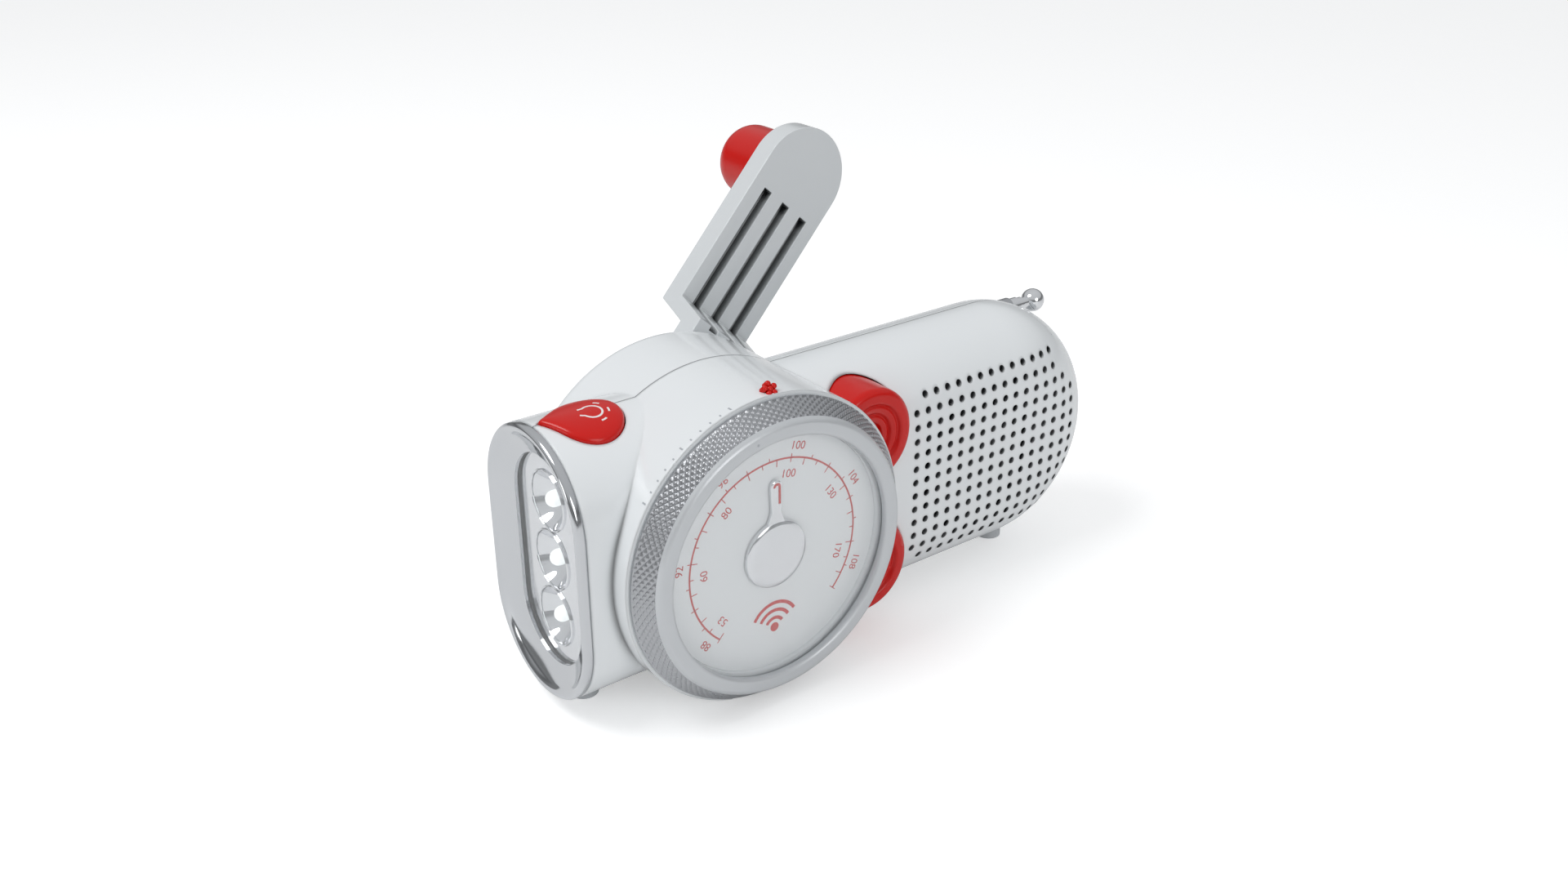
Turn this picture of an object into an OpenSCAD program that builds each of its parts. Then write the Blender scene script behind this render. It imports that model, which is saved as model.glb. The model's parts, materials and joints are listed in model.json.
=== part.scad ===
// Emergency radio with a folding crank, a tuning dial and a three-lamp flashlight head.
// +X runs from the lamp head to the speaker end, +Y to the back, +Z up. The origin lies
// on the table under the dial axis.

/* [Body] */
// Height of the dial axis above the table
axis_h = 49; // [48:0.5:52]
// Radius of the round housing behind the dial
drum_r = 49.2; // [48:0.2:60]
// Front face of the round housing
drum_front = -33; // [-38:0.5:-32]
// Back face of the round housing
drum_back = 27.6; // [27.2:0.2:30]
// Half height of the speaker handle
handle_half_h = 42.4; // [40:0.2:44]
// Thickness of the speaker handle
handle_t = 49; // [46:0.5:51]
// Front face of the speaker handle
handle_front = -27.6; // [-29:0.2:-26]
// Distance from the dial axis to the end of the handle
handle_end = 152.4; // [150:0.5:185]
// Wall of the two shells
wall = 2.2; // [1.8:0.1:2.7]

/* [Flashlight head] */
// Half height of the head
head_half_h = 43.4; // [42:0.2:45]
// Thickness of the head
head_t = 53.2; // [50:0.2:54]
// Middle of the head from front to back
head_mid = 0.4; // [-1:0.1:1]
// Distance from the dial axis to the joint with the bezel
head_len = 56.3; // [56:0.1:70]
// Width of the bright bezel
bezel_w = 2.9; // [2:0.1:5]
// Half width of the lamp window
window_half_w = 17; // [14:0.1:18]
// Distance between lamps
lamp_pitch = 19.2; // [19:0.1:19.5]
// Radius of each reflector bowl
bowl_r = 9.3; // [7:0.1:9.4]

/* [Dial] */
// Radius of the collar that the tuning ring turns on
collar_r = 40; // [38:0.1:41]
// Outer radius of the tuning ring at its back edge
ring_r = 48.2; // [46:0.1:48.6]
// Outer radius of the tuning ring at its front rim
rim_r = 43; // [42.4:0.1:45]
// Depth of the tuning ring
ring_depth = 7.9; // [7.4:0.1:9]
// Radius of the window in the tuning ring
dial_r = 38.4; // [35:0.1:38.6]
// Radius of the pointer cap
cap_r = 10.8; // [8:0.1:13]
// Distance from the dial axis to the pointer's tip
pointer_len = 24; // [18:0.5:28]

/* [Controls] */
// Radius of the volume and band knobs
knob_r = 16; // [12:0.1:16.2]
// Knob axis, distance from the dial axis along the handle
knob_x = 41.5; // [40:0.1:43]
// Knob axis, distance above or below the dial axis
knob_z = 22.5; // [21:0.1:22.7]
// Radius of the round end of the lamp button
button_r = 10.6; // [8:0.1:12]
// Distance from the lamp button's centre to its tip
button_tip = 14; // [12.5:0.1:16]
// Travel of the lamp button
button_travel = 1.2; // [0.8:0.1:1.4]

/* [Speaker] */
// Distance between the sound holes
hole_pitch = 4.8; // [4:0.1:6]
// Diameter of a sound hole
hole_d = 2.3; // [1.5:0.1:3]
// Radius of the speaker
speaker_r = 22; // [16:0.5:23]

/* [Crank] */
// Angle of the crank above the horizontal
crank_angle = 48.5; // [0:0.5:90]
// Distance from the hub to the grip
crank_len = 109; // [100:0.5:109]
// Width of the crank arm
arm_w = 34; // [28:0.5:36]
// Thickness of the crank arm
arm_t = 8.2; // [7:0.1:8.4]
// Step from the inner to the outer stretch of the arm
arm_step = 14.4; // [12:0.1:14.6]
// Radius of the grip
grip_r = 12.5; // [9:0.1:13]
// Length of the grip
grip_len = 27.5; // [20:0.5:28]

/* [Antenna] */
// Radius of the outer antenna tube
tube_r = 2.8; // [2.4:0.1:2.9]
// Radius of the inner antenna rod
rod_r = 2; // [1.5:0.1:2.1]
// Radius of the ball on the antenna
ball_r = 4.1; // [3:0.1:5]

/* [Hidden] */
$fn = 48;

run = 0.05;          // radial running clearance of a shaft
gap = 0.3;           // clearance between pieces that move past each other
fit = 0.05;          // clearance round a piece that is only placed
far = 300;           // longer than anything in the model
drum_edge = 4;       // round on the back rim of the housing
pad_t = 2;           // height of the foot pads below the housing
handle_er = handle_t / 2;
handle_mid = handle_front + handle_er;
handle_back = handle_front + handle_t;
head_er = head_t / 2;
collar_top = drum_front - 4.2;
ring_back = drum_front - gap;
ring_front = ring_back - ring_depth;
lens_back = collar_top - gap;
lens_t = 1.2;
plate_t = 2.5;
cap_back = drum_front - plate_t - gap;
shaft_r = 3;
capacitor_back = -11.6;
board_t = 1.6;

knob_face = drum_front + wall + 0.4;
knob_back = -10.5;
control_front = -7;
control_back = -1.5;
control_r = 8;
knob_gap = 0.4;

lamp_mark_x = 2;
button_x = -41.2;
button_y = -3.1;
button_turn = 15;
button_rise = 1.5;
button_skirt = 3.2;
drop_sides = 48;
switch_z = 25;
stem_r = 2;

bezel_seat = -head_len;
window_x = -head_len + 1.3;
lamp_lens_t = 1;
reflector_t = 9;
straight_half = head_half_h - head_er;

pin_y = 38;
hub_face = drum_back + gap;
hub_plate_t = 1.7;
hub_r = 20;
hub_shaft_r = 5;
hub_end_r = 3;
knuckle_r = 5;
knuckle_half = 8;
fold_pin_r = 2;
ear_t = 4;
ear_r = 6;
arm_root_front = pin_y - arm_t;
step_r = drum_r + 0.4;
step_run = 4;
step_back = 3.6;     // how much nearer the hub the step's back face is
arm_back = pin_y + arm_step;
grip_pin_r = 2.5;
groove_w = 3.6;
groove_pitch = 9.6;
groove_depth = 4;

gear_y = 14;
gear_w = 5;
gear2_y = 9;
gear2_w = 3;
plate_y = 5.5;
plate_w = 2;
plate_r = 34;
post_r = 2.5;
post_ring = 31;
mod1 = 0.9;
mod2 = 0.8;
hub_teeth = 48;
pinion_teeth = 12;
idler_teeth = 36;
rotor_teeth = 10;
idler_angle = 135;
idler_dist = mod1 * (hub_teeth + pinion_teeth) / 2;
idler_x = idler_dist * cos(idler_angle);
idler_z = idler_dist * sin(idler_angle);
rotor_x = idler_x + mod2 * (idler_teeth + rotor_teeth) / 2;
rotor_z = idler_z;
idler_pin_r = 1.5;
pinion_phase = mesh_phase(pinion_teeth, hub_teeth, 0, idler_angle);
rotor_phase = mesh_phase(rotor_teeth, idler_teeth, pinion_phase, 0);
can_r = 11;
can_y = -9;
magnet_r = 8;
rotor_shaft_r = 1;

cell_r = 5.25;
cell_l = 44.5;
cell_pitch = 11;
bay_x = 45;
bay_l = cell_l + 3;
bay_half = 17;
bay_floor = 5.5;
bay_wall = 1.2;
door_t = 2;
pocket_r = grip_r + 1.6;
pocket_floor = 2 * pin_y - arm_back - grip_len - 1.2;

socket_x = -6;
socket_z = -32;
socket_pitch = 11;
socket_depth = 12.4;
cover_half_w = 17;
cover_half_h = 5.8;
cover_t = 1.6;
power_r = 2.8;
earphone_r = 1.8;
charge_r = 2.2;

speaker_x = 88;
grille_x = 62.4;
grille_cols = 16;
grille_half_rows = 6;
grille_half_h = grille_half_rows * hole_pitch;
grille_end_x = 95;
grille_end_r = 42.1;
grille_corner = 5;

antenna_y = 4.5;
antenna_z = 34.2;
sleeve_r = tube_r + 0.6;
sleeve_x = 58;
ball_x = handle_end - 7.7;

screws = [[-17, 38.6], [-38.5, -28], [17, 38.5], [17, -38.5], [104, 24], [104, -24], [handle_end - 18.4, 0]];
screw_r = 1.5;
screw_head_r = 2.7;
screw_seat = 8;
screw_tip = -12;
feet = [[-46, head_mid], [60, handle_mid], [122, handle_mid]];
foot_r = 4.5;

white = "#eef1f3";
red = "#c4281a";
silver = "#c9ccd0";
steel = "#8f9499";
green = "#2f6b45";
black = "#26282a";

// ---------- helpers ----------

module at_axis() translate([0, 0, axis_h]) children();

// Turns a profile of [radius, y] points about the Y axis.
module spin_y() rotate([-90, 0, 0]) rotate_extrude($fn = 96) children();

module cyl_y(r, y0, y1, x = 0, z = 0) translate([x, y0, z]) rotate([-90, 0, 0]) cylinder(r = r, h = y1 - y0);

module cyl_x(r, x0, x1, y = 0, z = 0) translate([x0, y, z]) rotate([0, 90, 0]) cylinder(r = r, h = x1 - x0);

module box(x0, x1, y0, y1, z0, z1) translate([x0, y0, z0]) cube([x1 - x0, y1 - y0, z1 - z0]);

// Upright stadium in the YZ plane, extruded along X.
module stadium_x(x0, x1, r, straight, y) {
  box(x0, x1, y - r, y + r, -straight, straight);
  for (s = [-1, 1]) cyl_x(r, x0, x1, y, s * straight);
}

// Turn of a gear's first tooth, in the XZ plane, that sets a gap of it on the line from the lead
// gear's axis, at the angle "line", where the lead gear has its teeth at lead_phase + n * pitch.
function mesh_phase(teeth, lead_teeth, lead_phase, line) =
  line + 180 + (lead_teeth / teeth) * (line - lead_phase) + 180 / teeth;

// Spur gear with straight-sided teeth, its axis along Y and its first tooth at phase.
module gear(teeth, mod, y0, w, bore, phase = 0) {
  pr = mod * teeth / 2;
  step = 360 / teeth;
  difference() {
    translate([0, y0, 0]) rotate([-90, 0, 0]) linear_extrude(w) polygon([
      for (i = [0 : teeth - 1], p = [[-0.25, -1.15], [-0.1, 0.8], [0.1, 0.8], [0.25, -1.15]])
        let (a = (i + p[0]) * step + phase) (pr + p[1] * mod) * [cos(a), -sin(a)]
    ]);
    if (bore > 0) cyl_y(bore, y0 - 1, y0 + w + 1);
  }
}

// ---------- casing ----------

// The round housing, drawn in by i on every side.
module drum_solid(i = 0) spin_y() {
  r = drum_r - i;
  e = max(drum_edge - i, 1);
  y1 = drum_back - i;
  translate([0, drum_front + i]) square([r - e, y1 - drum_front - i]);
  translate([0, drum_front + i]) square([r, y1 - e - drum_front - i]);
  translate([r - e, y1 - e]) circle(r = e);
}

module head_solid(i = 0, x0 = -head_len) stadium_x(x0, 0, head_er - i, straight_half, head_mid);

module handle_solid(i = 0) {
  r = handle_er - i;
  s = handle_half_h - handle_er;
  bend_x = handle_end - handle_half_h;
  stadium_x(0, bend_x, r, s, handle_mid);
  translate([bend_x, handle_mid, 0]) rotate([-90, 0, 0]) rotate_extrude($fn = 96) intersection() {
    union() {
      translate([0, -r]) square([s, 2 * r]);
      translate([s, 0]) circle(r = r);
    }
    translate([0, -far / 2]) square([far, far]);
  }
}

module table_side() translate([-far / 2, -far / 2, -far - axis_h + pad_t]) cube([far, far, far]);

module casing() difference() {
  union() {
    drum_solid();
    head_solid();
    handle_solid();
  }
  table_side();
}

module hollow() difference() {
  union() {
    drum_solid(wall);
    head_solid(wall, -head_len - 1);
    handle_solid(wall);
  }
  translate([0, 0, wall]) table_side();
}

module front_half() translate([-far, -far, -far]) cube([2 * far, far, 2 * far]);
module back_half() translate([-far, 0, -far]) cube([2 * far, far, 2 * far]);

// Drop outline of the lamp button, seen from above.
module drop(grow = 0) translate([button_x, button_y]) rotate(180 - button_turn) {
  r = button_r + grow;
  tip = button_tip + grow * button_tip / button_r;
  a = acos(r / tip);
  polygon([
    [tip, 0],
    for (i = [0 : drop_sides]) let (t = a + (360 - 2 * a) * i / drop_sides) r * [cos(t), sin(t)]
  ]);
}

module button_hole(z0 = 0) translate([0, 0, z0]) linear_extrude(far) drop(gap);

// Sound holes stop at the arc of the handle's end, and on the dial's side at two corners of
// radius grille_corner.
function in_grille(x, z) =
  let (dx = grille_x + grille_corner - x, dz = abs(z) - grille_half_h + grille_corner)
  norm([max(dx, 0), max(dz, 0)]) <= grille_corner + 0.1
  && norm([x - grille_end_x, z]) * sign(x - grille_end_x) <= grille_end_r;

module grille_holes() for (c = [0 : grille_cols - 1], k = [-grille_half_rows : grille_half_rows]) {
  x = grille_x + c * hole_pitch;
  z = k * hole_pitch;
  if (in_grille(x, z)) cyl_y(hole_d / 2, handle_front - 1, -20, x, z);
}

module knob_wells() for (s = [-1, 1])
  cyl_y(knob_r + knob_gap, knob_face - gap, knob_back + 1, knob_x, s * knob_z);

module speaker_seat() difference() {
  cyl_y(speaker_r + 1.8, -26, -23.4, speaker_x);
  cyl_y(speaker_r - 1.5, -27, -23, speaker_x);
}

module screw_boss(p) difference() {
  cyl_y(3.4, norm(p) < 45 ? drum_front + 1 : handle_front + wall, 0, p[0], p[1]);
  cyl_y(screw_r + fit, screw_tip - 1, 1, p[0], p[1]);
}

module front_walls() difference() {
  difference() {
    intersection() { casing(); front_half(); }
    hollow();
  }
  knob_wells();
  button_hole();
  cyl_y(shaft_r + 6, drum_front - 1, drum_front + wall + 1);
  translate([lamp_mark_x, drum_front + 2.6, 0]) cylinder(r = 1.6, h = far);
}

module front_shell() color(white) at_axis() difference() {
  union() {
    front_walls();
    intersection() {
      casing();
      union() {
        speaker_seat();
        for (p = screws) screw_boss(p);
      }
    }
    difference() {
      cyl_y(collar_r, collar_top, drum_front + 0.5);
      cyl_y(collar_r - 1.8, collar_top - 1, drum_front + 1);
    }
  }
  grille_holes();
}

module screw_tubes() for (p = screws) cyl_y(4, 0, drum_back, p[0], p[1]);

module gear_posts() for (a = [90, 210, 330])
  cyl_y(post_r, plate_y + plate_w, drum_back - 1, post_ring * cos(a), post_ring * sin(a));

module battery_bay() difference() {
  box(bay_x - bay_wall, bay_x + bay_l + bay_wall, bay_floor - bay_wall, handle_back - 1,
      -bay_half - bay_wall, bay_half + bay_wall);
  box(bay_x, bay_x + bay_l, bay_floor, handle_back, -bay_half, bay_half);
}

module back_shell() color(white) at_axis() difference() {
  union() {
    difference() {
      intersection() { casing(); back_half(); }
      hollow();
    }
    intersection() {
      casing();
      union() {
        screw_tubes();
        gear_posts();
        battery_bay();
        cyl_y(hub_shaft_r + 4, gear_y + gear_w + 1, drum_back - 1);
        cyl_y(idler_pin_r + 2, gear_y + gear_w + 1, drum_back - 1, idler_x, idler_z);
        cyl_y(pocket_r + 1.4, pocket_floor - 1.4, handle_back - 1, crank_len);
      }
    }
  }
  cyl_y(hub_shaft_r + run, gear_y, drum_back + 1);
  cyl_y(idler_pin_r + fit, gear_y, drum_back - wall, idler_x, idler_z);
  cyl_y(pocket_r, pocket_floor, far, crank_len);
  box(bay_x, bay_x + bay_l, handle_back - wall - 1, far, -bay_half, bay_half);
  box(socket_x - cover_half_w - gap, socket_x + cover_half_w + gap, drum_back - wall - 1, far,
      socket_z - cover_half_h - gap, socket_z + cover_half_h + gap);
  for (p = screws) {
    cyl_y(screw_r + fit, -1, drum_back, p[0], p[1]);
    cyl_y(screw_head_r + 0.3, screw_seat, far, p[0], p[1]);
  }
  cyl_x(sleeve_r + fit, handle_end - 38, far, antenna_y, antenna_z);
  button_hole();
}

module case_screws() color(steel) at_axis() for (p = screws) difference() {
  union() {
    cyl_y(screw_r, screw_tip, screw_seat, p[0], p[1]);
    cyl_y(screw_head_r, screw_seat, screw_seat + 2.2, p[0], p[1]);
  }
  for (a = [0, 90]) translate([p[0], screw_seat + 2.2, p[1]]) rotate([0, a, 0])
    cube([3.4, 2.4, 0.8], center = true);
}

module rubber_feet() color("#d5d8da") {
  box(-13, 13, -20, 18, 0, pad_t);
  for (p = feet) difference() {
    translate([p[0], p[1], 0]) cylinder(r = foot_r, h = 14);
    at_axis() { head_solid(); handle_solid(); }
  }
}

// ---------- flashlight head ----------

// Funnel that widens from the window to the bezel's lip.
module funnel(x0, x1, r0, r1) {
  for (s = [-1, 1]) translate([x0, head_mid, s * straight_half]) rotate([0, 90, 0])
    cylinder(r1 = r0, r2 = r1, h = x1 - x0);
  translate([0, head_mid, -straight_half]) linear_extrude(2 * straight_half)
    polygon([[x0, -r0], [x0, r0], [x1, r1], [x1, -r1]]);
}

module head_bezel() color(silver) at_axis() difference() {
  union() {
    stadium_x(bezel_seat - bezel_w + 1.2, bezel_seat, head_er, straight_half, head_mid);
    funnel(bezel_seat - bezel_w, bezel_seat - bezel_w + 1.2, head_er - 1.2, head_er);
    stadium_x(bezel_seat, window_x + lamp_lens_t + 1, head_er - wall - fit, straight_half, head_mid);
  }
  funnel(bezel_seat - bezel_w - 0.01, window_x, head_er - 2.2, window_half_w);
  stadium_x(window_x - 1, window_x + lamp_lens_t + 2, window_half_w, straight_half, head_mid);
  button_hole(head_half_h - button_skirt - button_travel - gap);
}

module head_lens() color([0.8, 0.9, 1, 0.4]) at_axis()
  stadium_x(window_x, window_x + lamp_lens_t, window_half_w, straight_half, head_mid);

module lamp_reflector() color(silver) at_axis() difference() {
  stadium_x(window_x + lamp_lens_t, window_x + lamp_lens_t + reflector_t, window_half_w - fit,
    straight_half, head_mid);
  for (k = [-1 : 1]) {
    translate([window_x + lamp_lens_t - 1, head_mid, k * lamp_pitch]) rotate([0, 90, 0])
      cylinder(r1 = bowl_r, r2 = 3.4, h = reflector_t - 1);
    cyl_x(2.8, window_x, 0, head_mid, k * lamp_pitch);
  }
}

module lamp_leds() color([0.95, 0.95, 0.85]) at_axis() for (k = [-1 : 1]) {
  back = window_x + lamp_lens_t + reflector_t + 0.6;
  cyl_x(2.5, back - 7, back, head_mid, k * lamp_pitch);
  translate([back - 7, head_mid, k * lamp_pitch]) sphere(r = 2.5);
}

module lamp_board() color(green) at_axis() {
  x0 = window_x + lamp_lens_t + reflector_t + 0.6;
  box(x0, x0 + board_t, head_mid - 10, head_mid + 10, -22.5, 22.5);
}

// ---------- lamp button ----------

module light_button() color(red) at_axis() {
  intersection() {
    linear_extrude(far) drop();
    difference() {
      head_solid(-button_rise, -head_len - 4);
      head_solid(button_skirt, -head_len - 8);
    }
  }
  translate([button_x, button_y, switch_z + 3.6]) cylinder(r = stem_r, h = 13);
}

module button_spring() color(steel) at_axis() translate([button_x, button_y, switch_z + 3]) difference() {
  cylinder(r = 3.6, h = straight_half + sqrt(pow(head_er - button_skirt, 2) - 50) - switch_z - 3.4);
  translate([0, 0, -1]) cylinder(r = 2.9, h = 20);
}

module light_switch() color(black) at_axis() difference() {
  box(button_x - 3.5, button_x + 3.5, button_y - 3.5, button_y + 3.5, switch_z - 2, switch_z + 3);
  translate([button_x, button_y, switch_z + 1]) cylinder(r = stem_r + 0.3, h = 5);
}

// ---------- dial ----------

module ring_profile() polygon([
  [collar_r + run, ring_back], [ring_r - 0.4, ring_back], [ring_r, ring_back - 0.4], [ring_r, ring_back - 1],
  [rim_r, ring_front + 1], [rim_r - 0.9, ring_front], [dial_r + 0.8, ring_front], [dial_r, ring_front + 0.6],
  [dial_r, lens_back - lens_t], [collar_r + run, lens_back - lens_t]
]);

module tuning_ring() color(silver) at_axis() spin_y() ring_profile();

module dial_lens() color([0.85, 0.9, 0.95, 0.35]) at_axis() cyl_y(collar_r, lens_back - lens_t, lens_back);

module pointer_cap() color(silver) at_axis() {
  cyl_y(cap_r, lens_back, cap_back);
  translate([0, lens_back, 0]) rotate([-90, 0, 0]) linear_extrude(cap_back - lens_back)
    polygon([[-2.2, 0], [-1, -pointer_len], [1, -pointer_len], [2.2, 0]]);
}

module tuning_shaft() color(steel) at_axis() cyl_y(shaft_r, cap_back, capacitor_back - 3);

module dial_plate() color("#dfe2e4") at_axis() difference() {
  cyl_y(collar_r - 1.8 - fit, drum_front - plate_t, drum_front);
  cyl_y(shaft_r + run, drum_front - plate_t - 1, drum_front + 1);
}

module tuning_lamp() color(red) at_axis() {
  top = sqrt(pow(drum_r, 2) - pow(lamp_mark_x, 2));
  translate([lamp_mark_x, drum_front + 2.6, top - wall - 2]) cylinder(r = 1.5, h = wall + 2.6);
  translate([lamp_mark_x, drum_front + 2.6, top + 0.15]) cylinder(r = 2.2, h = 0.6);
}

module tuning_capacitor() color("#d8d2c0") at_axis() difference() {
  box(-13, 13, drum_front + wall, capacitor_back, -13, 13);
  cyl_y(shaft_r + run, drum_front, capacitor_back - 2.5);
}

module main_board() color(green) at_axis() box(-34, 22, capacitor_back, capacitor_back + board_t, -32, 32);

// ---------- knobs ----------

// Dished knob with two ring grooves in its face.
module knob() difference() {
  cyl_y(knob_r, knob_face, knob_back);
  translate([0, knob_face - 34, 0]) sphere(r = 36, $fn = 96);
  for (r = [7, 11]) spin_y() translate([r, knob_face + 2.6 - r * r / 72]) circle(r = 0.9, $fn = 24);
  cyl_y(knob_r - 2, knob_face + 5, knob_back + 1);
}

module knob_stem() difference() {
  cyl_y(shaft_r + 2, knob_face + 5, knob_back);
  cyl_y(shaft_r + fit, knob_face + 8, knob_back + 1);
}

module at_knob(side) at_axis() translate([knob_x, 0, side * knob_z]) children();

module volume_knob() color(red) at_knob(1) { knob(); knob_stem(); }
module band_knob() color(red) at_knob(-1) { knob(); knob_stem(); }
module knob_shaft() cyl_y(shaft_r, knob_face + 8, control_back - 1.5);
module volume_shaft() color(steel) at_knob(1) knob_shaft();
module band_shaft() color(steel) at_knob(-1) knob_shaft();

module control_can() difference() {
  cyl_y(control_r, control_front, control_back);
  cyl_y(shaft_r + run, control_front - 1, control_back - 1.2);
}

module volume_control() color(steel) at_knob(1) control_can();
module band_switch() color(steel) at_knob(-1) control_can();

module control_board() color(green) at_axis()
  box(knob_x - 10, knob_x + 10, control_back, control_back + board_t, -knob_z - 10, knob_z + 10);

// ---------- speaker ----------

module speaker_frame() color(black) at_axis() translate([speaker_x, 0, 0]) spin_y() polygon([
  [speaker_r, -23.4], [speaker_r, -21.8], [speaker_r - 3, -21.8], [13, -14], [12, -14], [12, -8.4],
  [0, -8.4], [0, -14.6], [11, -14.6], [speaker_r - 4, -22.6], [speaker_r - 4, -23.4]
]);

module speaker_cone() color("#3a3a3a") at_axis() translate([speaker_x, 0, 0]) spin_y() polygon([
  [0, -18.4], [6, -18.4], [speaker_r - 4.4, -23.2], [speaker_r - 4.4, -22.7], [6.2, -17.6], [0, -17.6]
]);

// ---------- crank ----------

// Frame of the deployed arm: +X outward along the arm, Y as the radio's.
module at_arm() at_axis() rotate([0, -crank_angle, 0]) children();

module crank_hub() color(white) at_arm() difference() {
  union() {
    cyl_y(hub_r, hub_face, hub_face + hub_plate_t);
    cyl_y(hub_shaft_r, gear_y + gear_w, hub_face + 0.5);
    cyl_y(hub_end_r, plate_y, gear_y + gear_w + 1);
    for (s = [-1, 1]) translate([0, 0, s * (knuckle_half + gap + ear_t / 2)]) {
      translate([-ear_r, hub_face + 0.5, -ear_t / 2]) cube([2 * ear_r, pin_y - hub_face - 0.5, ear_t]);
      translate([0, pin_y, -ear_t / 2]) cylinder(r = ear_r, h = ear_t);
    }
  }
  translate([0, pin_y, -far / 2]) cylinder(r = fold_pin_r + fit, h = far);
}

module fold_pin() color(steel) at_arm()
  translate([0, pin_y, -knuckle_half - gap - ear_t])
    cylinder(r = fold_pin_r, h = 2 * (knuckle_half + gap + ear_t));

// Plate of the arm from y0 to y1, between two distances from the hub.
module arm_plate(x0, x1, y0, y1) box(x0, x1, y0, y1, -arm_w / 2, arm_w / 2);

module arm_root() translate([0, arm_root_front, 0]) rotate([-90, 0, 0]) linear_extrude(arm_t) polygon([
  [3, -knuckle_half], [8, -knuckle_half], [22, -arm_w / 2], [step_r - 6, -arm_w / 2],
  [step_r - 6, arm_w / 2], [22, arm_w / 2], [8, knuckle_half], [3, knuckle_half]
]);

module arm_step_web() translate([0, 0, -arm_w / 2]) linear_extrude(arm_w) polygon([
  [step_r - 8, arm_root_front], [step_r, arm_root_front], [step_r + step_run, arm_back - arm_t],
  [step_r + step_run + 2, arm_back - arm_t], [step_r + step_run + 2, arm_back],
  [step_r + step_run - step_back, arm_back], [step_r - step_back, pin_y], [step_r - 8, pin_y]
]);

module groove_side() polygon([[step_r - 1, arm_root_front - 4], [step_r + step_run - 1, arm_back - arm_t - 6],
    [crank_len - 10.6, arm_back - arm_t - 6], [crank_len - 10.6, arm_back - arm_t + groove_depth],
    [step_r + step_run - 2, arm_back - arm_t + groove_depth], [step_r - 2, arm_root_front + groove_depth]]);

module crank_arm() color(white) at_arm() difference() {
  union() {
    arm_root();
    arm_step_web();
    arm_plate(step_r + step_run + 1, crank_len, arm_back - arm_t, arm_back);
    cyl_y(arm_w / 2, arm_back - arm_t, arm_back, crank_len);
    translate([0, pin_y, -knuckle_half]) cylinder(r = knuckle_r, h = 2 * knuckle_half);
  }
  translate([0, pin_y, -far / 2]) cylinder(r = fold_pin_r + run, h = far);
  for (k = [-1 : 1]) translate([0, 0, k * groove_pitch - groove_w / 2])
    linear_extrude(groove_w) groove_side();
  cyl_y(grip_pin_r + fit, arm_back - arm_t + 2, arm_back + 1, crank_len);
}

module grip_pin() color(steel) at_arm() {
  cyl_y(grip_pin_r, arm_back - arm_t + 2, arm_back + grip_len - 5, crank_len);
}

module crank_grip() color(red) at_arm() translate([crank_len, arm_back + gap, 0]) difference() {
  spin_y() union() {
    l = grip_len - gap;
    polygon([[0, 0], [grip_r - 1.6, 0], [grip_r - 0.6, 1], [grip_r, l - 8], [grip_r - 8, l - 8], [0, l - 8]]);
    square([grip_r - 8, l]);
    intersection() {
      translate([grip_r - 8, l - 8]) circle(r = 8);
      square([grip_r, l]);
    }
  }
  cyl_y(grip_pin_r + run, -1, grip_len - 4);
}

// ---------- gear train and generator ----------

module hub_gear() color("#e8e4d8") at_axis() gear(hub_teeth, mod1, gear_y, gear_w, hub_end_r + fit, 0);

module idler_gear() color("#e8e4d8") at_axis() translate([idler_x, 0, idler_z]) {
  gear(pinion_teeth, mod1, gear_y, gear_w, idler_pin_r + run, pinion_phase);
  gear(idler_teeth, mod2, gear2_y, gear2_w, idler_pin_r + run, pinion_phase);
  difference() {
    cyl_y(4, gear2_y + gear2_w, gear_y);
    cyl_y(idler_pin_r + run, 0, 30);
  }
}

module idler_pin() color(steel) at_axis() cyl_y(idler_pin_r, plate_y, drum_back - wall, idler_x, idler_z);

module generator_rotor() color(steel) at_axis() translate([rotor_x, 0, rotor_z]) {
  gear(rotor_teeth, mod2, gear2_y, gear2_w, 0, rotor_phase);
  cyl_y(rotor_shaft_r, can_y + 0.6, gear2_y + 0.5);
  cyl_y(magnet_r, can_y + 2, plate_y - 2);
}

module generator_can() color(silver) at_axis() translate([rotor_x, 0, rotor_z]) difference() {
  cyl_y(can_r, can_y, plate_y);
  cyl_y(can_r - 1.4, can_y + 1.5, plate_y + 1);
  cyl_y(rotor_shaft_r + run, can_y + 0.5, plate_y);
}

module gear_plate() color(silver) at_axis() difference() {
  cyl_y(plate_r, plate_y, plate_y + plate_w);
  cyl_y(hub_end_r + run, 0, 20);
  cyl_y(idler_pin_r + fit, 0, 20, idler_x, idler_z);
  cyl_y(4, 0, 20, rotor_x, rotor_z);
}

// ---------- power ----------

module battery_cells() color("#3d6a8a") at_axis() for (k = [-1 : 1]) {
  cyl_x(cell_r, bay_x + 1.5, bay_x + 1.5 + cell_l - 1, bay_floor + cell_r + 0.2, k * cell_pitch);
  cyl_x(1.9, bay_x + 1.5 + cell_l - 1, bay_x + 1.5 + cell_l, bay_floor + cell_r + 0.2, k * cell_pitch);
}

module battery_contacts() color(silver) at_axis() for (k = [-1 : 1]) {
  y = bay_floor + cell_r + 0.2;
  z = k * cell_pitch;
  box(bay_x, bay_x + 0.4, y - 4, y + 4, z - 4, z + 4);
  cyl_x(2.2, bay_x + 0.4, bay_x + 1.5, y, z);
  box(bay_x + bay_l - 0.4, bay_x + bay_l, y - 4, y + 4, z - 4, z + 4);
  cyl_x(2.2, bay_x + cell_l + 1.5, bay_x + bay_l - 0.4, y, z);
}

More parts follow.
